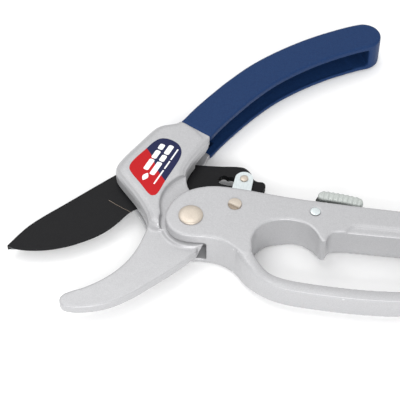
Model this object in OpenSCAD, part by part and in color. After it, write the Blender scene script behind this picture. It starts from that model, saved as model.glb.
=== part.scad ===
// Ratchet bypass pruner, lying flat on its side.
// Origin: axis of the main pivot, in the plane the tool rests on.
// +X runs towards the handles, +Y towards the blade's spine side, +Z up through the tool.

/* [Lower handle] */
// Overall thickness of the lower handle
handle_h = 19; // [18:0.5:20]
// Thickness of the handle's two side plates at the underside
plate_low = 2.5; // [2:0.1:2.5]
// Height at which the handle's upper side plate starts
plate_top = 13.7; // [13.6:0.1:14]
// Thickness of the finger guard
guard_h = 12; // [10:0.5:13]
// Width of the finger guard bar
guard_w = 5.4; // [4.6:0.1:6]

/* [Upper body] */
// Height of the raised panel above the resting plane
panel_z = 16.5; // [16.2:0.1:17]
// Height of the round boss under the lower handle's nose
boss_z = 13.5; // [13.3:0.05:13.5]
// Radius of the round boss
boss_r = 13.5; // [12.5:0.1:13.7]
// Edge rounding of the raised panel
panel_round = 3; // [2:0.2:3.4]
// Top of the hooked counter blade
hook_top = 12.4; // [11:0.2:12.8]
// Width of the upper handle
grip_w = 17.4; // [15:0.2:18.5]
// Thickness of the vinyl coat on the upper handle
coat_t = 0.7; // [0.5:0.1:0.9]

/* [Blade] */
// Thickness of the blade
blade_t = 3; // [2.6:0.1:3]
// Width of the hollow grind along the cutting edge
grind_w = 4.5; // [3:0.5:6]

/* [Pivots] */
// Radius of the main pivot bolt
bolt_r = 3; // [2.6:0.1:3.2]
// Radius of the bolt's domed head
head_r = 5.6; // [5:0.1:6]
// Radius of the blade's pivot screw
screw_r = 2.5; // [2.2:0.1:2.7]
// Radius of the link pin, the catch pin and the ratchet pin
pin_r = 2; // [1.7:0.1:2]
// Radial running clearance of the moving bores
fit = 0.06; // [0.03:0.01:0.09]

/* [Motion] */
// Closing angle of the lower handle
handle_travel = 50; // [45:1:50]
// Closing angle of the blade
blade_travel = 36; // [34:1:36]
// Travel of the thumb catch
catch_travel = 25; // [22:1:25]

/* [Hidden] */
$fn = 64;

// Pivots in plan: main, link, ratchet, blade and catch
P1 = [0, 0];
P2 = [20, 6.5];
P3 = [25, 30.5];
PB = [-9, 25];
PC = [56.4, 2.3];

blade_z = 4.4;
blade_top = blade_z + blade_t;
slot_z = [blade_z - 0.2, blade_top + 0.2];
link_t = 1.5;
link_low = 2.7;
link_top = slot_z[1];
core_z = [1, 16];
grip_z = [core_z[0] - coat_t, core_z[1] + coat_t];
channel_z = [2.6, 13.2];
recess_c = [5.5, 9.5];
recess_r = 19.8;
nose_sweep = 14.3;

// ---- curves ----------------------------------------------------------------

// Point on a smooth curve between b and c, with neighbours a and d
function bend(a, b, c, d, t) =
    0.5 * (2 * b + (c - a) * t + (2 * a - 5 * b + 4 * c - d) * t * t + (3 * b - a - 3 * c + d) * t * t * t);

// Smooth open curve through the points p, with n steps between two of them
function curve(p, n = 5) = [
    for (i = [0 : len(p) - 2], j = [0 : n - 1])
        bend(p[max(i - 1, 0)], p[i], p[i + 1], p[min(i + 2, len(p) - 1)], j / n),
    p[len(p) - 1]
];

// Smooth closed curve through the points p
function ring(p, n = 5) = let (c = len(p)) [
    for (i = [0 : c - 1], j = [0 : n - 1])
        bend(p[(i + c - 1) % c], p[i], p[(i + 1) % c], p[(i + 2) % c], j / n)
];

function arc(c, r, from, to, n = 12) = [
    for (i = [0 : n])
        let (a = from + (to - from) * i / n) c + r * [cos(a), sin(a)]
];

function turn(v, a) = [v[0] * cos(a) - v[1] * sin(a), v[0] * sin(a) + v[1] * cos(a)];

function turn_about(v, c, a) = c + turn(v - c, a);

// Unit normal, to the left of the walking direction, at point i of the open line p
function side(p, i) =
    let (d = p[min(i + 1, len(p) - 1)] - p[max(i - 1, 0)]) [-d[1], d[0]] / norm(d);

// Line p moved sideways by the widths w, which run linearly from w[0] to w[1]
function beside(p, w) = [
    for (i = [0 : len(p) - 1])
        p[i] + side(p, i) * (w[0] + (w[1] - w[0]) * i / (len(p) - 1))
];

function back(p) = [for (i = [len(p) - 1 : -1 : 0]) p[i]];

// Closed strip around the centre line p, from the offset l on its left to the offset r on its right
function strip(p, l, r) = concat(beside(p, [l, l]), back(beside(p, [-r, -r])));

// Strip with a round far end
function round_strip(p, w) =
    let (e = len(p) - 1, d = p[e] - p[e - 1], a = atan2(d[1], d[0]))
        concat(beside(p, [w, w]), arc(p[e], w, a + 80, a - 80, 10), back(beside(p, [-w, -w])));

// Closed outline p, counter-clockwise, moved inwards by d
function inset(p, d) = let (c = len(p)) [
    for (i = [0 : c - 1])
        let (e = p[(i + 1) % c] - p[(i + c - 1) % c], l = max(norm(e), 0.001))
            p[i] + [-e[1], e[0]] / l * d
];

// Solid between two heights over the outline p
module slab(p, z) {
    translate([0, 0, z[0]]) linear_extrude(z[1] - z[0]) polygon(p);
}

// Slab over the counter-clockwise outline p, its edges stepped in along a quarter circle of radius r
module soft_slab(p, z, r, steps = 3) {
    union() {
        for (i = [0 : steps])
            let (a = 90 * i / steps)
                slab(inset(p, r * (1 - cos(a))), [z[0] + r * (1 - sin(a)), z[1] - r * (1 - sin(a))]);
    }
}

module disc(c, r, z, fn = 64) {
    translate([c[0], c[1], z[0]]) cylinder(r = r, h = z[1] - z[0], $fn = fn);
}

// Domed rivet or bolt head
module dome(c, r, z, h, rim = 0.5) {
    R = (r * r + (h - rim) * (h - rim)) / (2 * (h - rim));
    translate([c[0], c[1], z])
        rotate_extrude($fn = 72)
            polygon(concat([[0, 0], [r, 0], [r, rim]],
                [for (i = [1 : 10])
                    let (x = r * (1 - i / 10))
                        [x, rim + sqrt(R * R - x * x) - (R - (h - rim))]]));
}

// Coil spring of round wire, with straight legs at both ends
module coil(c, r, wire, z, turns, from, legs) {
    per = 20;
    total = round(turns * per);
    mid = [for (i = [0 : total]) let (a = from + 360 * i / per)
        [c[0] + r * cos(a), c[1] + r * sin(a), z[0] + (z[1] - z[0]) * i / total]];
    a0 = from;
    a1 = from + 360 * total / per;
    lead = mid[0] + legs[0] * [sin(a0), -cos(a0), 0];
    tail = mid[total] + legs[1] * [-sin(a1), cos(a1), 0];
    path = concat([lead], mid, [tail]);
    n = len(path);
    sides = 8;
    points = [
        for (i = [0 : n - 1])
            let (t = path[min(i + 1, n - 1)] - path[max(i - 1, 0)],
                 u = [t[1], -t[0], 0] / norm([t[0], t[1]]))
                for (k = [0 : sides - 1])
                    path[i] + wire * (u * cos(360 * k / sides) + [0, 0, 1] * sin(360 * k / sides))
    ];
    faces = concat(
        [[for (k = [0 : sides - 1]) k]],
        [for (i = [0 : n - 2], k = [0 : sides - 1])
            let (a = i * sides + k, b = i * sides + (k + 1) % sides) [a, a + sides, b + sides, b]],
        [[for (k = [sides - 1 : -1 : 0]) (n - 1) * sides + k]]
    );
    polyhedron(points, faces);
}

// ---- outlines --------------------------------------------------------------

// Raised panel and body, counter-clockwise, from the hook's root round by the upper handle
body_line = ring([[1.5, 15], [-1.6, 22], [-2.2, 28.5], [-0.8, 33], [2.1, 38.3], [5, 42.8], [8.3, 48.9],
    [6, 54], [2, 59], [-3.6, 63.2], [-7, 61.6], [-11, 60.6], [-15, 59.6], [-19, 56.2], [-24.6, 49],
    [-30, 42], [-34.4, 35.5], [-35.4, 31], [-33.6, 26.3], [-29.3, 19.8], [-24.4, 12], [-20.6, 4],
    [-19.5, -1], [-15, -4], [-9, -3], [-3, 1], [1, 8]], 2);

// Hooked counter blade: hollow inner side, rounded tip, bellied outer side
hook_inner = [[-8, 8], [-19.6, 6], [-19.8, 1], [-20.2, -2.5], [-21.7, -7.1], [-24.4, -13.8],
    [-28.2, -20.2], [-33.1, -25.9], [-39.1, -30.7], [-46.2, -34.8], [-51.8, -36.9], [-55.2, -38.4]];
hook_tip = [[-56.9, -40.2], [-57.2, -42.4], [-55.6, -44.8], [-53, -45.6]];
hook_outer = [[-49.9, -46], [-42.6, -45.4], [-34.3, -43.1], [-25.5, -38.3], [-17.8, -32.6],
    [-9.4, -26.2], [-3.7, -21.3], [0.2, -17.4], [3.2, -13], [2.6, -4]];
hook_line = concat(curve(hook_inner, 3), curve(hook_tip, 3), curve(hook_outer, 3));

// Centre line of the upper handle
grip_points = [[2.3, 55.6], [8, 63.6], [15.8, 73], [25.4, 83.6], [36.5, 94], [50, 103.6], [65, 112],
    [80, 118.4], [88, 121]];
grip_line = curve(grip_points, 4);
core_line = curve([[-3.6, 48], for (i = [0 : len(grip_points) - 2]) grip_points[i]], 4);

// Lower handle: nose, throat down to the finger guard, finger arch with its cusp, grip and top edge
nose_low = [[-11.6, -1], [-10.4, -5.2], [-7.8, -8.8], [-3.8, -11], [1, -11.9], [7, -12.4], [13, -14],
    [18.2, -17.4], [22, -21.6]];
arch = [[26.4, -21.6], [27.2, -18.5], [27.2, -14], [28.1, -10.5], [30.2, -7], [34, -4], [39.5, -2.5],
    [45.4, -2.6], [51, -4.4], [54.5, -7.4], [56.5, -10.7], [57.3, -13.1]];
cusp = [[58.1, -14.4], [59.2, -14.8], [60.2, -14.4]];
grip_low = [[60.9, -13], [62.3, -10.9], [65, -9.6], [71, -9.7], [81, -11], [92, -12.3],
    [106, -14.1], [118, -15.6]];
handle_end = [[122.8, -14.4], [126, -10.6], [126.2, -6.2], [123.6, -2.6]];
handle_high = [[118, -1], [106, 1], [92.9, 3], [77.5, 5.3], [63.5, 7.7], [49.9, 10], [34.9, 13.3],
    [26.8, 15.3], [18.6, 17], [13.7, 17.7], [8.8, 17.8], [4.2, 17.1], [-0.1, 15.7], [-4, 13.4],
    [-7.7, 9.8], [-10.3, 5], [-11.4, 2]];
handle_line = concat(curve(nose_low, 3), curve(arch, 3), cusp, curve(grip_low, 3), curve(handle_end, 3),
    curve(handle_high, 3));

// Floor of the lower handle's channel: the open side of the handle lies beyond these points
channel_wall = [[6.3, -25], [6.3, -9.6], [12.5, -10.6], [17, -13.2], [20.6, -15.8], [23.4, -13.2],
    [24.4, -9], [27.4, -4], [32.4, -0.8], [39.5, 0.9], [46.4, 0.8], [52.6, -1], [58, -4.6], [64, -5],
    [71, -5.6], [81, -7], [92, -8.4], [104, -9.6], [109, -8], [110.4, -4]];
channel_line = concat([[-30, -25]], channel_wall, [[112, 12], [60, 30], [-30, 40]]);

// Centre line of the finger guard
guard_line = curve([[19, -12], [22.6, -17.6], [26, -24], [30.2, -29.6], [35.4, -33.4], [42, -36],
    [50, -37.8], [58, -39.2], [68, -40.7], [79, -41.9], [90, -42.4], [101, -41.4], [111, -37.6],
    [117.6, -30.6], [119.6, -22], [119.4, -12]], 3);
guard_mid = 9.5;

// Lower edge of the grip, which is set back in two steps at the underside
under_line = [[36, -4.6], [42, -3.4], [46, -3], [51, -4.2], [55, -7.2], [58.4, -11.4], [60.4, -10.8],
    [63, -8.4], [71, -8.2], [81, -9.5], [92, -10.8], [106, -12.6], [118, -14.1], [118, -24], [36, -24]];

// Shallow step along the lower edge of the grip, which starts in a bend
step_line = concat(curve([[67.4, -10.8], [69.2, -9.8], [71.2, -7.4], [74.3, -6], [81, -6.6], [91.4, -7.8],
    [106, -9.8], [117, -11.4]], 3), [[119, -20], [66, -20]]);

// Blade: spine, ratchet tail with its nub, hidden heel, cutting edge
spine = [[-83.4, -8.2], [-76, 1.6], [-69, 8.2], [-58, 16.8], [-46.5, 26], [-34.6, 35.2], [-26.5, 40.6],
    [-16, 43], [-6, 42.2], [4, 40.4], [14.9, 39.6]];
tail_end = [[14.9, 39.6], [23, 39.3], [26.3, 37.9], [28.6, 34.6], [29.6, 31.4], [31.4, 30],
    [33.8, 29.6], [35, 27.8], [34.2, 25.2], [31, 24]];
tail_low = [[31, 24], [24, 23.4], [14, 22.6], [5, 20.4], [-2, 16.4], [-9, 14], [-16, 13],
    [-23.5, 14.4]];
edge = [[-23.5, 14.4], [-26.8, 12.6], [-29.6, 10.2], [-33, 6], [-37.4, 1.4], [-42.4, -2.4],
    [-47.8, -5.3], [-54.1, -8], [-60.9, -9.9], [-67.8, -10.9], [-75, -10.8], [-80.3, -9.8],
    [-83.4, -8.2]];
edge_curve = curve(edge, 3);
grind_fade = len(edge_curve) - 1;
grind_curve = [for (i = [0 : grind_fade])
    edge_curve[i] + side(back(edge_curve), grind_fade - i)
        * grind_w * min(1, 0.25 + i / 6) * min(1, (grind_fade - i) / 8 + 0.02)];
heel_side = [for (i = [0 : grind_fade - 1]) grind_curve[i]];

// Ratchet pin, seen from the blade, at the share s of the closing travel
function pin_on_blade(s) =
    let (link = turn(P3 - P2, handle_travel * s * 0.276), pin = turn(P2, handle_travel * s) + link)
        turn_about(pin, PB, -blade_travel * s);

slot_steps = 12;
slot_mid = [for (i = [0 : slot_steps]) pin_on_blade(i / slot_steps)];
slot_r = pin_r + 0.5;
slot_line = let (m = slot_mid, n = slot_steps) concat(
    [for (i = [0 : n]) m[i] + side(m, i) * slot_r],
    arc(m[n], slot_r, heading(m, n) + 80, heading(m, n) - 80, 8),
    [for (i = [n : -1 : 0]) m[i] - side(m, i) * slot_r],
    arc(m[0], slot_r, heading(m, 0) - 100, heading(m, 0) - 260, 8)
);
function heading(m, i) = let (d = m[max(i, 1)] - m[max(i, 1) - 1]) atan2(d[1], d[0]);

// Catch, drawn locked: finger that hooks over the blade's nub
finger_locked = [[57.7, 3], [57.9, 10], [57.8, 17], [57.2, 18.3], [54.9, 18.5], [54.9, 19.8],
    [58.4, 20.4], [60.8, 18.6], [61.2, 12], [60.4, 3]];
finger_line = [for (v = finger_locked) turn_about(v, PC, -catch_travel)];
pad_teeth = 9;
pad_from = [59.6, 17];
pad_to = [76.6, 12.4];
pad_edge = [for (i = [0 : pad_teeth * 4])
    let (s = i / (pad_teeth * 4), u = turn(pad_to - pad_from, 90) / norm(pad_to - pad_from))
        pad_from + (pad_to - pad_from) * s + u * (0.9 * sin(180 * s) + 0.35 * abs(sin(45 * i)))];
pad_line = concat(pad_edge, [[78.4, 10.6], [78, 8.2], [72, 7.6], [62, 10.4], [58.2, 10.9], [57.4, 13.6]]);
arm_line = [[53.4, 3.4], [54.6, 7.4], [57.2, 13], [64, 12.6], [74, 9], [73, 5.6], [64, 4.4],
    [59.4, 1.2]];

// Label
label_line = ring([[-28.9, 31.1], [-27.2, 35.6], [-21.5, 42.7], [-18, 47], [-14.4, 49.4], [-10.2, 48.8],
    [-6.2, 45.8], [-4.6, 41.4], [-5.4, 36.6], [-8.4, 30], [-12, 22.8], [-14.8, 16.4], [-16.8, 14.1],
    [-19.4, 15], [-23.4, 21.2], [-27.4, 27.2]], 4);

// ---- pieces that stay with the upper body ----------------------------------

module upper_body() {
    color([0.78, 0.78, 0.79])
    difference() {
        union() {
            difference() {
                soft_slab(body_line, [0.6, panel_z], panel_round);
                slab(round_strip(grip_line, grip_w / 2), [0, 30]);
            }
            slab(hook_line, [slot_z[1], hook_top]);
            disc(P1, boss_r, [link_low, boss_z], 96);
            slab(strip(core_line, grip_w / 2 - coat_t, grip_w / 2 - coat_t), core_z);
        }
        // Round recess that the lower handle's nose turns in, above and below
        disc(recess_c, recess_r, [boss_z, 30], 128);
        disc(P1, nose_sweep, [boss_z, 30], 128);
        disc(recess_c, recess_r, [-1, link_low], 128);
        disc(P1, nose_sweep, [-1, link_low], 128);
        // Slot the blade swings in
        disc(PB, 25.4, slot_z, 128);
        slab([[-60, 12], [-34.8, 35.9], [-26.8, 41.4], PB, [-14, -1.5], [-19.6, -12], [-60, -30]], slot_z);
        slab([PB, [-9, 50.7], [2, 52.6], [8.2, 57.6], [16, 61.5], [45, 61], [45, 10], [9, 10], [2, 14.5]],
             slot_z);
        // Room for the link plates and the ratchet tail
        difference() {
            slab([[1.8, 5], [1.8, 46.5], [4, 50.5], [9, 55], [16, 61.5], [45, 61], [45, 5]],
                 [channel_z[0], link_top + link_t + 1.1]);
            disc(P1, boss_r + 1.1, [0, 20], 96);
        }
        // Channel of the handle, open towards the lower handle
        slab(strip(grip_line, grip_w / 2 - 3.4, grip_w), [channel_z[0] - 0.5, channel_z[1] + 0.5]);
        // Spring pocket round the blade pivot
        disc(PB, 6.2, [slot_z[1] - 0.1, 11.8]);
        // Gap between the hook's root and the lower handle's web
        translate([5.4, -24, 12.6]) rotate([0, 20, 0]) translate([0, 0, -16]) cube([10, 19, 30]);
        // Bores
        disc(P1, 4, [-1, 30]);
        disc(PB, screw_r, [-1, 12.8]);
        disc(PB, 4.3, [-1, 2.3]);
    }
}

module upper_grip() {
    color([0.16, 0.24, 0.42])
    difference() {
        slab(round_strip(grip_line, grip_w / 2), grip_z);
        slab(strip(core_line, grip_w / 2 - coat_t, grip_w / 2 - coat_t), core_z);
        slab(strip(grip_line, grip_w / 2 - 3.9, grip_w), channel_z);
    }
}

module label() {
    color([0.7, 0.16, 0.15])
    slab(label_line, [panel_z, panel_z + 0.15]);
}

module main_pivot_bolt() {
    color([0.87, 0.82, 0.74])
    union() {
        disc(P1, bolt_r, [0.4, handle_h + 0.2]);
        dome(P1, head_r, handle_h + 0.1, 1.5);
    }
}

module main_pivot_nut() {
    color([0.75, 0.74, 0.72])
    difference() {
        disc(P1, 5, [0.2, 1.2]);
        disc(P1, bolt_r, [0, 2]);
    }
}

module pivot_bush() {
    color([0.72, 0.58, 0.36])
    difference() {
        disc(P1, 4, [link_low - 0.1, boss_z + 0.1]);
        disc(P1, bolt_r, [0, 20]);
    }
}

module blade_pivot_screw() {
    color([0.75, 0.74, 0.72])
    difference() {
        union() {
            disc(PB, screw_r, [2, 12.8]);
            disc(PB, 4, [0.8, 2.3]);
        }
        translate([PB[0] - 5, PB[1] - 0.5, 0.5]) cube([10, 1, 0.9]);
    }
}

module return_spring() {
    color([0.6, 0.6, 0.6])
    coil(PB, 4.6, 0.55, [8.6, 11], 2, 200, [0.9, 0.9]);
}

// ---- pieces that turn with the lower handle --------------------------------

module lower_handle() {
    color([0.78, 0.78, 0.79])
    difference() {
        union() {
            slab(handle_line, [0, handle_h]);
            guard();
        }
        slab(channel_line, [plate_low, plate_top]);
        disc(P1, boss_r + 0.5, [plate_low, plate_top], 96);
        slab(step_line, [handle_h - 0.9, handle_h + 1]);
        slab(under_line, [-1, 4.4]);
        translate([0, 1.2, 0]) slab(under_line, [-1, 2.3]);
        disc(P1, bolt_r + fit, [-1, 30]);
        disc(P1, 5.4, [-1, 1.4]);
        disc(P2, pin_r, [-1, 30]);
        disc(P2, 3.6, [-1, 1.2]);
        disc(PC, pin_r, [-1, 30]);
    }
}

// Finger guard: a bar of even width round the fingers
module guard() {
    slab(strip(guard_line, guard_w / 2, guard_w / 2), [guard_mid - guard_h / 2, guard_mid + guard_h / 2]);
}

module link_pin() {
    color([0.87, 0.82, 0.74])
    union() {
        disc(P2, pin_r, [0.8, handle_h]);
        disc(P2, 3.4, [0.2, 1.2]);
        dome(P2, 3.6, handle_h, 1);
    }
}

module catch_pin() {
    color([0.85, 0.87, 0.86])
    union() {
        disc(PC, pin_r, [0.2, handle_h]);
        dome(PC, 3, handle_h, 0.6, 0.2);
    }
}

module link_spring() {
    color([0.6, 0.6, 0.6])
    coil(P2, 3, 0.45, [10, 12.6], 3, 20, [3, 3]);
}

// ---- link ------------------------------------------------------------------

link_axis = (P3 - P2) / norm(P3 - P2);
link_dir = atan2(link_axis[1], link_axis[0]);
link_line = concat(arc(P2, 5, link_dir + 90, link_dir + 270, 18),
    arc(P3, 4.3, link_dir - 90, link_dir + 90, 18));

module link_plate(z) {
    color([0.86, 0.89, 0.89])
    difference() {
        slab(link_line, [z, z + link_t]);
        disc(P2, pin_r + fit, [0, 20]);
        disc(P3, pin_r - 0.4, [0, 20]);
    }
}

module link_plate_top() {
    link_plate(link_top);
}

module link_plate_bottom() {
    link_plate(link_low);
}

module link_spacer() {
    color([0.8, 0.82, 0.82])
    difference() {
        disc(P2, 3.2, [link_low + link_t, link_top]);
        disc(P2, pin_r + fit, [0, 20]);
    }
}

module ratchet_pin() {
    color([0.87, 0.82, 0.74])
    union() {
        disc(P3, pin_r - 0.4, [link_low, link_top + link_t]);
        dome(P3, 2.7, link_top + link_t, 0.7, 0.2);
    }
}

module ratchet_roller() {
    color([0.7, 0.7, 0.68])
    difference() {
        disc(P3, pin_r, [link_low + link_t, link_top]);
        disc(P3, pin_r - 0.4, [0, 20]);
    }
}

// ---- blade -----------------------------------------------------------------

// The cutting edge's wedge: a thin edge at the upper face, full thickness at the grind line
module grind() {
    n = len(edge_curve);
    inner = [for (i = [0 : n - 1]) grind_curve[i] + (grind_curve[i] - edge_curve[i]) * 0.2];
    points = [for (i = [0 : n - 1])
        for (v = [[edge_curve[i], blade_top], [edge_curve[i], blade_top - 0.4], [grind_curve[i], blade_z],
                  [inner[i], blade_z], [inner[i], blade_top]])
            [v[0][0], v[0][1], v[1]]];
    faces = concat(
        [[4, 3, 2, 1, 0]],
        [for (i = [0 : n - 2], k = [0 : 4]) let (a = i * 5 + k, b = i * 5 + (k + 1) % 5) [a, b, a + 5]],
        [for (i = [0 : n - 2], k = [0 : 4]) let (a = i * 5 + k, b = i * 5 + (k + 1) % 5) [b, b + 5, a + 5]],
        [[for (k = [0 : 4]) (n - 1) * 5 + k]]
    );
    polyhedron(points, faces);
}

module blade() {
    color([0.13, 0.13, 0.14])
    difference() {
        union() {
            slab(concat(curve(spine, 3), curve(tail_end, 3), curve(tail_low, 3), heel_side),
                 [blade_z, blade_top]);
            grind();
        }
        slab(slot_line, [0, 20]);
        for (i = [0 : 3])
            disc(slot_mid[i * 4] + side(slot_mid, i * 4) * -1.1, 1.9, [0, 20], 32);
        disc(PB, 4, [0, 20]);
    }
}

module blade_bush() {
    color([0.72, 0.58, 0.36])
    difference() {
        disc(PB, 4, [blade_z, blade_top]);
        disc(PB, screw_r + fit, [0, 20]);
    }
}

// ---- thumb catch -----------------------------------------------------------

module catch_lever() {
    color([0.75, 0.78, 0.76])
    difference() {
        union() {
            disc(PC, 4, [2.8, 13.4]);
            slab(finger_line, [blade_z + 0.2, blade_top - 0.2]);
            slab(arm_line, [8, 13.2]);
            slab(pad_line, [8, 15.6]);
        }
        disc(PC, pin_r + fit, [0, 20]);
    }
}

module catch_spring() {
    color([0.6, 0.6, 0.6])
    coil(PC, 4.5, 0.3, [3.2, 4.1], 1.25, 150, [0.6, 0.6]);
}

upper_body();
upper_grip();
label();
main_pivot_bolt();
main_pivot_nut();
pivot_bush();
blade_pivot_screw();
return_spring();
lower_handle();
link_pin();
catch_pin();
link_spring();
link_plate_top();
link_plate_bottom();
link_spacer();
ratchet_pin();
ratchet_roller();
blade();
blade_bush();
catch_lever();
catch_spring();
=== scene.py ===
"""Ratchet bypass pruner: the looks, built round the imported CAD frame. Lengths below are in millimetres."""

from math import cos, pi, radians, sin, sqrt, tau

import bmesh
import bpy
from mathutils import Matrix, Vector


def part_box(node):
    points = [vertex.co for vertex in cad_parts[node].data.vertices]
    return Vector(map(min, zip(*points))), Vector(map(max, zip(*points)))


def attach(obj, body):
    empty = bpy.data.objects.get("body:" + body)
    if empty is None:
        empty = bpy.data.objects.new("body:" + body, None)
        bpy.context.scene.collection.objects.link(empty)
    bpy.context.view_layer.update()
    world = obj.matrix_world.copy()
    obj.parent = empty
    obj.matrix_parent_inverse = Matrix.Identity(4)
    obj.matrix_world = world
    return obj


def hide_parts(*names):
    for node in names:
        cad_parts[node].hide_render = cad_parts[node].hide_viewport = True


MM = 0.001
COARSE = 1.0
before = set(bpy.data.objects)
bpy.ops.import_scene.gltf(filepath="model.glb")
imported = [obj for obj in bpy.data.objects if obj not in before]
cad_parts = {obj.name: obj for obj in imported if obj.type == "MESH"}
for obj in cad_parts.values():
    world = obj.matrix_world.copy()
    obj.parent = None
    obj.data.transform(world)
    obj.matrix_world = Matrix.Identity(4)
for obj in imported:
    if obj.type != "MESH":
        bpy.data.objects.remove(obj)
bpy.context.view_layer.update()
scene = bpy.context.scene

# Pivots in plan, and the heights that the pieces share
MAIN = (0, 0)
LINK = (20, 6.5)
RATCHET = (25, 30.5)
CATCH = (56.4, 2.3)
HANDLE_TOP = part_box("lower_handle")[1].z / MM
PANEL_TOP = 16.5
RATCHET_SEAT = 9.1
BLADE_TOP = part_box("blade")[1].z / MM


# ---- mesh helpers ------------------------------------------------------------


def add(name, mesh, body, material, replaces=()):
    """Puts a made piece into the scene, on its body and with its material, in place of the CAD nodes it
    replaces.
    """
    piece = bpy.data.objects.new(name, mesh)
    scene.collection.objects.link(piece)
    mesh.materials.clear()
    mesh.materials.append(material)
    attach(piece, body)
    if replaces:
        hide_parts(*replaces)
    return piece


def mesh_of(name, verts, faces, smooth=True):
    mesh = bpy.data.meshes.new(name)
    mesh.from_pydata([Vector(v) * MM for v in verts], [], faces)
    bm = bmesh.new()
    bm.from_mesh(mesh)
    bmesh.ops.recalc_face_normals(bm, faces=bm.faces)
    bm.to_mesh(mesh)
    bm.free()
    if smooth:
        mesh.shade_smooth()
    return mesh


def smooth_by_angle(mesh, degrees):
    """Smooth shading, with edges sharper than the angle kept crisp."""
    bm = bmesh.new()
    bm.from_mesh(mesh)
    for face in bm.faces:
        face.smooth = True
    for edge in bm.edges:
        edge.smooth = len(edge.link_faces) == 2 and edge.calc_face_angle(0) < radians(degrees)
    bm.to_mesh(mesh)
    bm.free()


def lathe(name, centre, profile, steps=72):
    """Solid of revolution about a vertical axis; the profile runs from its lower end to its upper end."""
    verts, faces = [], []
    rings = []
    for r, z in profile:
        if r < 1e-6:
            rings.append([len(verts)])
            verts.append((centre[0], centre[1], z))
        else:
            rings.append(list(range(len(verts), len(verts) + steps)))
            verts += [(centre[0] + r * cos(tau * k / steps), centre[1] + r * sin(tau * k / steps), z)
                      for k in range(steps)]
    for low, high in zip(rings, rings[1:]):
        for k in range(steps):
            n = (k + 1) % steps
            if len(low) == 1:
                faces.append((low[0], high[n], high[k]))
            elif len(high) == 1:
                faces.append((low[k], low[n], high[0]))
            else:
                faces.append((low[k], low[n], high[n], high[k]))
    return mesh_of(name, verts, faces)


def bend(a, b, c, d, t):
    """Point at share t between b and c on the smooth curve through a, b, c and d."""
    return tuple(
        0.5 * (2 * q + (r - p) * t + (2 * p - 5 * q + 4 * r - s) * t * t + (3 * q - p - 3 * r + s) * t ** 3)
        for p, q, r, s in zip(a, b, c, d)
    )


def curve(points, steps=6):
    """Smooth open curve through the points."""
    last = len(points) - 1
    out = []
    for i in range(last):
        a, b, c, d = points[max(i - 1, 0)], points[i], points[i + 1], points[min(i + 2, last)]
        out += [bend(a, b, c, d, j / steps) for j in range(steps)]
    return out + [tuple(points[-1])]


def ring(points, steps=6):
    """Smooth closed curve through the points."""
    n = len(points)
    return [bend(points[i - 1], points[i], points[(i + 1) % n], points[(i + 2) % n], j / steps)
            for i in range(n) for j in range(steps)]


def normals(line, closed):
    """Unit vectors to the left of the line, one for each point."""
    n = len(line)
    out = []
    for i in range(n):
        a = line[i - 1] if closed or i else line[0]
        b = line[(i + 1) % n] if closed or i < n - 1 else line[-1]
        d = Vector((b[0] - a[0], b[1] - a[1])).normalized()
        out.append((-d.y, d.x))
    return out


def skin(verts, n):
    """Faces over rings of n points each, in order, with both ends closed."""
    rings = len(verts) // n
    faces = [(k * n + i, k * n + (i + 1) % n, (k + 1) * n + (i + 1) % n, (k + 1) * n + i)
             for k in range(rings - 1) for i in range(n)]
    faces.append(tuple(reversed(range(n))))
    faces.append(tuple((rings - 1) * n + i for i in range(n)))
    return faces


def plate(name, outline, low, high, edge=0.2, steps=3):
    """Flat piece over a counter-clockwise outline, with a rounded upper edge."""
    side = normals(outline, True)
    levels = [(0.0, low)]
    for k in range(steps + 1):
        a = pi / 2 * k / steps
        levels.append((edge * (1 - cos(a)), high - edge + edge * sin(a)))
    verts = [(p[0] + s[0] * inset, p[1] + s[1] * inset, z)
             for inset, z in levels for p, s in zip(outline, side)]
    mesh = mesh_of(name, verts, skin(verts, len(outline)), smooth=False)
    smooth_by_angle(mesh, 35)
    return mesh


def swept(name, line, width, height, mid, corner=2.0, per_corner=5):
    """Bar along a plan line with a round-cornered section; width and height depend on the share run."""
    side = normals(line, False)
    verts = []
    for i, (p, s) in enumerate(zip(line, side)):
        share = i / (len(line) - 1)
        w, h = width(share), height(share)
        r = min(corner, w / 2 - 0.05)
        for q in range(4):
            sx, sz = (1, -1, -1, 1)[q], (1, 1, -1, -1)[q]
            for k in range(per_corner):
                a = pi / 2 * (q + k / (per_corner - 1))
                u = sx * (w / 2 - r) + r * cos(a)
                verts.append((p[0] + s[0] * u, p[1] + s[1] * u, mid + sz * (h / 2 - r) + r * sin(a)))
    return mesh_of(name, verts, skin(verts, 4 * per_corner))


def half(bm, point, normal, keep_outer):
    """Cuts a closed mesh by a plane and closes the cut."""
    geom = bm.verts[:] + bm.edges[:] + bm.faces[:]
    made = bmesh.ops.bisect_plane(
        bm, geom=geom, dist=1e-6, plane_co=Vector(point) * MM, plane_no=Vector(normal),
        clear_outer=not keep_outer, clear_inner=keep_outer)
    rim = [e for e in made["geom_cut"] if isinstance(e, bmesh.types.BMEdge)]
    bmesh.ops.triangle_fill(bm, edges=rim, use_beauty=True, use_dissolve=False)


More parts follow.
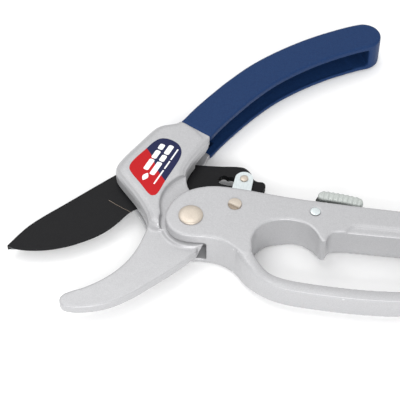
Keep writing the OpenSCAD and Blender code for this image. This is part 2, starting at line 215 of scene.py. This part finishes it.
def cast(name, sources, voxel, passes, faces_kept, cut=None):
    """One mesh with soft edges, as a casting or a dipped coat has: its sources are fused, then relaxed."""
    bm = bmesh.new()
    for source in sources:
        part = bmesh.new()
        part.from_mesh(source)
        if cut:
            bmesh.ops.remove_doubles(part, verts=part.verts, dist=1e-6)
            half(part, *cut)
        lump = bpy.data.meshes.new("lump")
        part.to_mesh(lump)
        part.free()
        bm.from_mesh(lump)
        bpy.data.meshes.remove(lump)
    mesh = bpy.data.meshes.new(name)
    bm.to_mesh(mesh)
    bm.free()
    work = bpy.data.objects.new(name + "_work", mesh)
    scene.collection.objects.link(work)
    remesh = work.modifiers.new("remesh", "REMESH")
    remesh.mode = "VOXEL"
    remesh.voxel_size = voxel * MM
    relax = work.modifiers.new("relax", "SMOOTH")
    relax.factor = 0.5
    relax.iterations = max(2, round(passes / COARSE ** 2))
    thin = work.modifiers.new("thin", "DECIMATE")
    thin.ratio = 1.0
    bpy.context.view_layer.update()
    shape = work.evaluated_get(bpy.context.evaluated_depsgraph_get())
    made = len(shape.data.polygons) * 2
    thin.ratio = min(1.0, faces_kept / made)
    bpy.context.view_layer.update()
    shape = work.evaluated_get(bpy.context.evaluated_depsgraph_get())
    out = bpy.data.meshes.new_from_object(shape)
    out.name = name
    bpy.data.objects.remove(work)
    out.shade_smooth()
    print("cast", name, made, len(out.polygons))
    return out


# ---- materials ---------------------------------------------------------------


class Look:
    """A procedural material: node helpers round one Principled shader."""

    def __init__(self, name, color, rough, metal=0.0):
        self.material = bpy.data.materials.new(name)
        self.material.use_nodes = True
        self.tree = self.material.node_tree
        self.shader = self.tree.nodes["Principled BSDF"]
        self.shader.inputs["Base Color"].default_value = (*color, 1)
        self.shader.inputs["Roughness"].default_value = rough
        self.shader.inputs["Metallic"].default_value = metal
        self.where = self.node("ShaderNodeTexCoord").outputs["Object"]
        self.height = None

    def node(self, kind, **values):
        made = self.tree.nodes.new(kind)
        for key, value in values.items():
            setattr(made, key, value)
        return made

    def link(self, a, b):
        self.tree.links.new(a, b)

    def set(self, **values):
        names = {"coat": "Coat Weight", "coat_rough": "Coat Roughness", "spec": "Specular IOR Level"}
        for key, value in values.items():
            self.shader.inputs[names[key]].default_value = value
        return self

    def noise(self, per_mm, detail=4, stretch=(1, 1, 1)):
        """Noise with features about 1 / per_mm millimetres across."""
        mapping = self.node("ShaderNodeMapping")
        mapping.inputs["Scale"].default_value = tuple(per_mm / MM * s for s in stretch)
        self.link(self.where, mapping.inputs["Vector"])
        noise = self.node("ShaderNodeTexNoise")
        noise.inputs["Scale"].default_value = 1
        noise.inputs["Detail"].default_value = detail
        self.link(mapping.outputs["Vector"], noise.inputs["Vector"])
        return noise.outputs["Fac"]

    def ramp(self, source, low, high, a, b):
        """Runs from colour a, where source is low, to colour b, where it is high."""
        ramp = self.node("ShaderNodeValToRGB")
        ramp.color_ramp.elements[0].position = low
        ramp.color_ramp.elements[1].position = high
        ramp.color_ramp.elements[0].color = (*a, 1)
        ramp.color_ramp.elements[1].color = (*b, 1)
        self.link(source, ramp.inputs["Fac"])
        return ramp.outputs["Color"]

    def value(self, source, low, high, a, b):
        scale = self.node("ShaderNodeMapRange")
        for key, number in zip(("From Min", "From Max", "To Min", "To Max"), (low, high, a, b)):
            scale.inputs[key].default_value = number
        self.link(source, scale.inputs["Value"])
        return scale.outputs["Result"]

    def mix(self, share, a, b):
        mix = self.node("ShaderNodeMix", data_type="RGBA")
        self.link(share, mix.inputs["Factor"])
        for key, value in (("A", a), ("B", b)):
            socket = next(s for s in mix.inputs if s.name == key and s.type == "RGBA")
            if isinstance(value, tuple):
                socket.default_value = (*value, 1)
            else:
                self.link(value, socket)
        return next(s for s in mix.outputs if s.type == "RGBA")

    def math(self, operation, *inputs):
        """Result of a math node; each input is a number or a socket."""
        node = self.node("ShaderNodeMath", operation=operation)
        for socket, value in zip(node.inputs, inputs):
            if isinstance(value, (int, float)):
                socket.default_value = value
            else:
                self.link(value, socket)
        return node.outputs[0]

    def split(self, source):
        """The X, Y and Z of a vector."""
        node = self.node("ShaderNodeSeparateXYZ")
        self.link(source, node.inputs["Vector"])
        return node.outputs["X"], node.outputs["Y"], node.outputs["Z"]

    def color(self, source):
        self.link(source, self.shader.inputs["Base Color"])
        return self

    def rough(self, source):
        self.link(source, self.shader.inputs["Roughness"])
        return self

    def bump(self, source, depth_mm, strength=1.0):
        bump = self.node("ShaderNodeBump")
        bump.inputs["Strength"].default_value = strength
        bump.inputs["Distance"].default_value = depth_mm * MM
        self.link(source, bump.inputs["Height"])
        if self.height:
            self.link(self.height, bump.inputs["Normal"])
        self.height = bump.outputs["Normal"]
        self.link(self.height, self.shader.inputs["Normal"])
        return self

    def edges(self, low=0.52, high=0.6):
        """1 on sharp outer edges, 0 elsewhere."""
        geometry = self.node("ShaderNodeNewGeometry")
        return self.value(geometry.outputs["Pointiness"], low, high, 0, 1)


def silver_paint():
    look = Look("silver_paint", (0.4, 0.4, 0.41), 0.42, 0.3).set(coat=0.2, coat_rough=0.25, spec=0.3)
    flake = look.noise(2.4, 6)
    base = look.ramp(flake, 0.36, 0.64, (0.385, 0.385, 0.395), (0.44, 0.44, 0.45))
    # Sharp outer edges get a lighter colour: a painted highlight.
    painted_edge_highlight = look.edges(0.525, 0.63)
    look.color(look.mix(painted_edge_highlight, base, (0.56, 0.56, 0.57)))
    look.rough(look.value(look.noise(0.35, 5), 0.3, 0.7, 0.3, 0.42))
    look.bump(look.noise(2.6, 5), 0.05).bump(look.noise(0.5, 3), 0.05)
    return look.material


def blue_vinyl():
    look = Look("blue_vinyl", (0.014, 0.045, 0.13), 0.45).set(spec=0.12)
    look.color(look.ramp(look.noise(1.6, 6), 0.3, 0.7, (0.008, 0.026, 0.088), (0.012, 0.038, 0.115)))
    look.rough(look.value(look.noise(0.8, 5), 0.3, 0.7, 0.36, 0.52))
    look.bump(look.noise(4.5, 6), 0.035).bump(look.noise(0.25, 2), 0.12)
    return look.material


def black_blade():
    """Black coat; bare metal on the grind, the only face that slopes downwards."""
    look = Look("black_blade", (0.012, 0.012, 0.014), 0.5).set(spec=0.12)
    up = look.split(look.node("ShaderNodeNewGeometry").outputs["Normal"])[2]
    not_flat = look.value(up, -0.9, -0.95, 1, 0)
    facing_down = look.value(up, -0.3, -0.5, 0, 1)
    grind = look.math("MULTIPLY", not_flat, facing_down)
    coat = look.ramp(look.noise(2.2, 6), 0.3, 0.7, (0.006, 0.006, 0.007), (0.01, 0.01, 0.011))
    ground = look.ramp(look.noise(5, 4, (1, 0.1, 1)), 0.3, 0.7, (0.42, 0.43, 0.44), (0.6, 0.61, 0.62))
    look.color(look.mix(grind, coat, ground))
    look.link(grind, look.shader.inputs["Metallic"])
    look.rough(look.value(look.noise(0.6, 5), 0.3, 0.7, 0.36, 0.46))
    look.bump(look.noise(6, 5), 0.004)
    return look.material


def metal(name, dark, light, rough, grain, stretch=(1, 1, 1), level=1.0):
    look = Look(name, light, rough, level)
    look.color(look.ramp(look.noise(grain, 5, stretch), 0.3, 0.7, dark, light))
    look.rough(look.value(look.noise(grain * 0.4, 4), 0.3, 0.7, rough - 0.07, rough + 0.09))
    look.bump(look.noise(grain * 1.5, 4, stretch), 0.012)
    return look.material


# The label's divider: the direction across it, how fast and how far it waves, and where navy starts
LABEL_COS, LABEL_SIN = 0.92, 0.39
WAVE_TURN = 0.33
WAVE_DEPTH = 0.4
NAVY_FROM = -2.7


def label_print():
    """Printed foil: red below a wavy divider, navy above it, with a fine halftone grain."""
    look = Look("label_print", (0.5, 0.03, 0.03), 0.5).set(spec=0.1)
    x, y, _ = look.split(look.where)
    along = look.math("MULTIPLY_ADD", x, LABEL_COS / MM, look.math("MULTIPLY", y, LABEL_SIN / MM))
    across = look.math("MULTIPLY_ADD", x, LABEL_SIN / MM, look.math("MULTIPLY", y, -LABEL_COS / MM))
    swing = look.math("SINE", look.math("MULTIPLY", across, WAVE_TURN))
    edge = look.math("MULTIPLY_ADD", swing, WAVE_DEPTH, along)
    navy = look.value(edge, NAVY_FROM, NAVY_FROM + 0.25, 0, 1)
    grain = look.noise(5, 4)
    red = look.ramp(grain, 0.3, 0.7, (0.4, 0.009, 0.012), (0.47, 0.013, 0.017))
    blue = look.ramp(grain, 0.3, 0.7, (0.014, 0.017, 0.055), (0.02, 0.024, 0.075))
    look.color(look.mix(navy, red, blue))
    look.bump(grain, 0.004)
    return look.material


def print_white():
    look = Look("print_white", (0.85, 0.85, 0.85), 0.35)
    look.color(look.ramp(look.noise(6, 3), 0.3, 0.7, (0.8, 0.8, 0.8), (0.9, 0.9, 0.9)))
    return look.material


silver = silver_paint()
blue = blue_vinyl()
black = black_blade()
nickel = metal("nickel", (0.5, 0.44, 0.37), (0.58, 0.52, 0.45), 0.4, 2.5, level=0.75)
# Darker copy of nickel. On the link rivet it is painted shade, where the head shows beside the cut cap.
dark_nickel_and_shade = metal("dark_nickel_and_shade", (0.2, 0.16, 0.12), (0.3, 0.25, 0.2), 0.45, 2.5, level=0.6)
zinc = metal("zinc", (0.56, 0.61, 0.62), (0.66, 0.71, 0.72), 0.38, 2, (1, 0.25, 1), 0.8)
catch_metal = metal("catch_metal", (0.4, 0.43, 0.41), (0.55, 0.58, 0.56), 0.42, 2.2, level=0.5)
# Near-black steel for the thumb catch's arm: painted shade in the gap below the pad.
painted_shade_steel = metal("painted_shade_steel", (0.02, 0.024, 0.022), (0.035, 0.04, 0.038), 0.5, 2.2, level=0.2)
bronze = metal("bronze", (0.42, 0.29, 0.14), (0.56, 0.4, 0.22), 0.4, 3)
spring_wire = metal("spring_wire", (0.4, 0.4, 0.41), (0.56, 0.56, 0.57), 0.3, 3, (1, 1, 0.2))
white = print_white()
foil = label_print()

# What each CAD node is made of, also where a made piece replaces it
NODES_OF = (
    (silver, ("upper_body", "lower_handle")),
    (blue, ("upper_grip",)),
    (foil, ("label",)),
    (black, ("blade",)),
    (painted_shade_steel, ("catch_lever",)),
    (bronze, ("pivot_bush", "blade_bush")),
    (nickel, ("main_pivot_bolt", "link_pin", "ratchet_pin")),
    (spring_wire, ("return_spring", "link_spring", "catch_spring", "ratchet_roller")),
    (zinc, ("main_pivot_nut", "blade_pivot_screw", "link_plate_top", "link_plate_bottom", "link_spacer",
            "catch_pin")),
)
BEVELS = {"link_plate_top": 0.3, "link_plate_bottom": 0.3, "blade": 0.18, "main_pivot_nut": 0.2}

for node, material in ((node, material) for material, nodes in NODES_OF for node in nodes):
    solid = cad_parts[node]
    solid.data.materials.clear()
    solid.data.materials.append(material)
    if node in BEVELS:
        bevel = solid.modifiers.new("edges", "BEVEL")
        bevel.width = BEVELS[node] * MM
        bevel.segments = 3
        bevel.limit_method = "ANGLE"
        bevel.angle_limit = radians(40)
        bevel.harden_normals = False


# ---- castings and coat -------------------------------------------------------

COAT_START = (2.3, 55.6, 0)
COAT_WAY = (0.58, 0.81, 0)
UNDER_COAT = 10  # how far the painted body runs on inside the coat
CASTING_VOXEL = 0.36
GUARD_MID = 9.5

# Middle line of the finger guard in plan, from the throat to the handle's rear
GUARD = [(19, -11), (22.4, -17), (26, -23.8), (30.2, -29.4), (35.4, -33.3), (42, -36), (50, -37.8),
         (58, -39.2), (68, -40.7), (79, -41.9), (90, -42.4), (101, -41.4), (111, -37.6), (117.6, -30.6),
         (119.6, -22), (119.4, -11)]


def past_throat(share):
    """0 in the throat, 1 where the guard has its even section."""
    t = min(1.0, max(0.0, (share - 0.08) / 0.2))
    return t * t * (3 - 2 * t)


guard = swept("guard", curve(GUARD, 6), lambda s: 6.4 - 0.8 * past_throat(s),
              lambda s: 18.9 - 6.6 * past_throat(s), GUARD_MID, 1.8)

body_solid, grip_solid, handle_solid, catch_solid = (
    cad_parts[node].data for node in ("upper_body", "upper_grip", "lower_handle", "catch_lever"))

body_mesh = cast("body_casting", [body_solid], CASTING_VOXEL * COARSE, 10, 170000,
                 cut=(Vector(COAT_START) + UNDER_COAT * Vector(COAT_WAY), COAT_WAY, False))
add("body_casting", body_mesh, "upper", silver, ("upper_body",))

handle_mesh = cast("handle_casting", [handle_solid, guard], CASTING_VOXEL * COARSE, 18, 190000)
add("handle_casting", handle_mesh, "lower", silver, ("lower_handle",))

coat_mesh = cast("grip_coat", [grip_solid, body_solid], CASTING_VOXEL * COARSE, 40, 150000,
                 cut=(COAT_START, COAT_WAY, True))
add("grip_coat", coat_mesh, "upper", blue, ("upper_grip",))


# ---- rivets ------------------------------------------------------------------


def rivet(name, centre, head, rim, shank, body, material, node):
    """A domed head (radius, underside, height) with a rounded rim, on its shank (radius, lower end)."""
    radius, low, height = head
    shank_r, shank_low = shank
    profile = [(0, shank_low), (shank_r, shank_low), (shank_r, low)]
    profile += [(radius - 0.25, low), (radius, low + 0.2)]
    crown = height - rim
    for k in range(13):
        a = pi / 2 * k / 12
        profile.append((radius * cos(a) ** 0.6 if k < 12 else 0, low + rim + crown * sin(a)))
    return add(name, lathe(name, centre, profile), body, material, (node,))


SEAT = HANDLE_TOP - 0.05
rivet("main_rivet", MAIN, (5.6, HANDLE_TOP + 0.05, 1.25), 0.35, (3, 0.4), "upper", nickel,
      "main_pivot_bolt")
# The head is darker nickel, so where the cap is cut off it shows as painted shade on a ledge.
rivet("link_rivet", LINK, (3.2, SEAT, 0.5), 0.2, (2, 0.8), "lower", dark_nickel_and_shade, "link_pin")
rivet("catch_rivet", CATCH, (2.3, SEAT, 0.3), 0.15, (2, 0.2), "lower", zinc, "catch_pin")
rivet("ratchet_rivet", RATCHET, (2, RATCHET_SEAT, 0.7), 0.2, (1.6, 2.7), "link", nickel,
      "ratchet_pin")


def chord_disc(centre, radius, way, depth):
    """Disc outline with the side towards the angle 'way' cut off along a chord."""
    out = []
    for k in range(60):
        a = tau * k / 60
        x, y = radius * cos(a - way), radius * sin(a - way)
        x = min(x, depth)
        out.append((centre[0] + x * cos(way) - y * sin(way), centre[1] + x * sin(way) + y * cos(way)))
    return out


cap = chord_disc(LINK, 3.1, radians(240), 1.3)
add("link_rivet_cap", plate("link_rivet_cap", cap, HANDLE_TOP + 0.2, HANDLE_TOP + 0.95, 0.3, 4), "lower",
    nickel, ("link_pin",))


# ---- label -------------------------------------------------------------------

LABEL = [(-28.9, 31.1), (-27.2, 35.6), (-21.5, 42.7), (-18, 47), (-14.4, 49.4), (-10.2, 48.8), (-6.2, 45.8),
         (-4.6, 41.4), (-5.4, 36.6), (-8.4, 30), (-12, 22.8), (-14.8, 16.4), (-16.8, 14.1), (-19.4, 15),
         (-23.4, 21.2), (-27.4, 27.2)]
FOIL_TOP = PANEL_TOP + 0.12
INK_TOP = FOIL_TOP + 0.03

foil_edge = ring(list(reversed(LABEL)), 8)
add("label_foil", plate("label_foil", foil_edge, PANEL_TOP - 0.05, FOIL_TOP, 0.08), "upper", foil,
    ("label",))


def ink(name, outline):
    """A flat shape printed on the foil."""
    add(name, plate(name, outline, FOIL_TOP - 0.03, INK_TOP, 0.02, 1), "upper", white)


ROW_WAY = Vector((0.455, 0.89))
ROW_SIDE = Vector((0.89, -0.455))


def on_label(origin, along, across):
    p = Vector(origin) + ROW_WAY * along + ROW_SIDE * across
    return (p.x, p.y)


def bar(origin, start, length, across, width):
    """Round-cornered bar along the label's long way, counter-clockwise."""
    r = width * 0.3
    out = []
    for q, (far, side) in enumerate(((1, -1), (1, 1), (0, 1), (0, -1))):
        for k in range(4):
            a = pi / 2 * (q - 1) + pi / 2 * k / 3
            along = start + (length - r if far else r) + r * cos(a)
            out.append(on_label(origin, along, across - side * (width / 2 - r) - r * sin(a)))
    return out


# Rows of plain bars where lettering would be: start, length, place across, width
ROWS_AT = (-20.8, 30.9)
for index, (start, length, across, width) in enumerate((
    (-1.3, 7.2, 0, 2.6), (6.6, 5.4, 0, 2.6), (12.9, 3.6, 0, 2.6),
    (-2.8, 8.6, 4.1, 2.6), (6.5, 4.2, 4.1, 2.6), (11.4, 6.2, 4.1, 2.6),
    (-7.3, 9.4, 7.8, 0.7), (3.1, 5.4, 7.8, 0.7), (9.4, 7.4, 7.8, 0.7),
)):
    ink(f"label_bar_{index}", bar(ROWS_AT, start, length, across, width))

LEAF_AT = (-21.3, 25.4)
LEAF_LONG, LEAF_WIDE = 2.5, 1.35  # half the length and half the width
leaf = [on_label(LEAF_AT, side * LEAF_LONG * (k / 8 - 1), side * LEAF_WIDE * sin(pi * k / 16))
        for side, steps in ((1, range(17)), (-1, range(1, 16))) for k in steps]
ink("label_leaf", leaf)


# ---- thumb catch and blade detail --------------------------------------------

# The arm is near-black: painted shade under the thumb pad.
lever = cast("catch_arm", [catch_solid], 0.3 * COARSE, 6, 30000, cut=((0, 0, 14.2), (0, 0, 1), False))
add("catch_arm", lever, "catch", painted_shade_steel, ("catch_lever",))


def fluted_pad(name, a, b, width, low, high, ridges, corner=1.3, per_corner=6, steps=150):
    """Round-ended bar with ridges across it: the section shrinks at the ends and between ridges."""
    way = (Vector(b) - Vector(a)).normalized()
    out = Vector((-way.y, way.x))
    length = (Vector(b) - Vector(a)).length
    verts = []
    for i in range(steps + 1):
        share = i / steps
        near = min(share, 1 - share) * length / (width / 2)
        end = sqrt(max(0.0, 1 - max(0.0, 1 - near) ** 2.4)) if near < 1 else 1.0
        groove = 0.3 * (0.5 - 0.5 * cos(tau * ridges * share)) * min(1, near * 1.5)
        w = max(0.3, (width - groove) * end)
        top = high - 0.9 * (1 - end) - groove * 0.8
        r = min(corner, w / 2 - 0.05)
        p = Vector(a) + way * length * share + out * 0.5 * sin(pi * share)
        for q in range(4):
            sx, top_side = (1, -1, -1, 1)[q], (1, 1, 0, 0)[q]
            for k in range(per_corner):
                t = pi / 2 * (q + k / (per_corner - 1))
                u = sx * (w / 2 - r) + r * cos(t)
                z = (top - r if top_side else low + 0.3) + (r if top_side else 0.3) * sin(t)
                verts.append((p.x + out.x * u, p.y + out.y * u, z))
    return mesh_of(name, verts, skin(verts, 4 * per_corner))


pad_mesh = fluted_pad("catch_pad", (58.6, 15.4), (79, 10.2), width=5.8, low=10.4, high=15.9, ridges=9.5)
add("catch_pad", pad_mesh, "catch", catch_metal, ("catch_lever",))

# A fine scribed line on the blade, near the heel of its edge
heel_mark = curve([(-38.5, 18.8), (-35, 16.1), (-31, 13.4), (-27.5, 11.2)], 6)
heel_mesh = swept("blade_heel_mark", heel_mark, lambda s: 0.22 * (1 - s * 0.5), lambda s: 0.14, BLADE_TOP,
                  0.05, 3)
add("blade_heel_mark", heel_mesh, "blade", dark_nickel_and_shade)


# ---- floor, light, camera ----------------------------------------------------

TARGET = (0.02, 0.03, 0)
bpy.ops.mesh.primitive_plane_add(size=6, location=(TARGET[0], TARGET[1], -0.5 * MM))
floor = bpy.context.object
floor.name = "floor"
floor_look = Look("floor_paper", (0.9, 0.9, 0.9), 0.6)
floor_look.color(floor_look.ramp(floor_look.noise(0.2, 3), 0.3, 0.7, (0.96, 0.96, 0.96), (0.97, 0.97, 0.97)))
floor.data.materials.append(floor_look.material)

world = bpy.data.worlds.new("studio")
world.use_nodes = True
world.node_tree.nodes["Background"].inputs["Color"].default_value = (1, 1, 1, 1)
world.node_tree.nodes["Background"].inputs["Strength"].default_value = 0.86
scene.world = world


def softbox(name, at, size, watts):
    """Area light turned towards the tool."""
    lamp = bpy.data.lights.new(name, "AREA")
    lamp.shape = "RECTANGLE"
    lamp.size, lamp.size_y = size
    lamp.energy = watts
    holder = bpy.data.objects.new(name, lamp)
    holder.location = at
    holder.rotation_euler = (Vector(TARGET) - Vector(at)).to_track_quat("-Z", "Y").to_euler()
    scene.collection.objects.link(holder)


softbox("front", (-0.05, -0.95, 0.62), (0.9, 0.35), 9)
softbox("top", (-0.2, 0.35, 1.1), (0.8, 0.8), 4)

# The camera looks along +Y, 50 degrees down, with a long lens
camera = bpy.data.cameras.new("camera")
camera.lens = 120
camera.sensor_width = 36
camera.clip_start = 0.01
eye = bpy.data.objects.new("camera", camera)
eye.location = (0.00415, -0.38148, 0.48445)
eye.rotation_euler = (radians(40), 0, 0)
scene.collection.objects.link(eye)
scene.camera = eye
scene.view_settings.view_transform = "Standard"
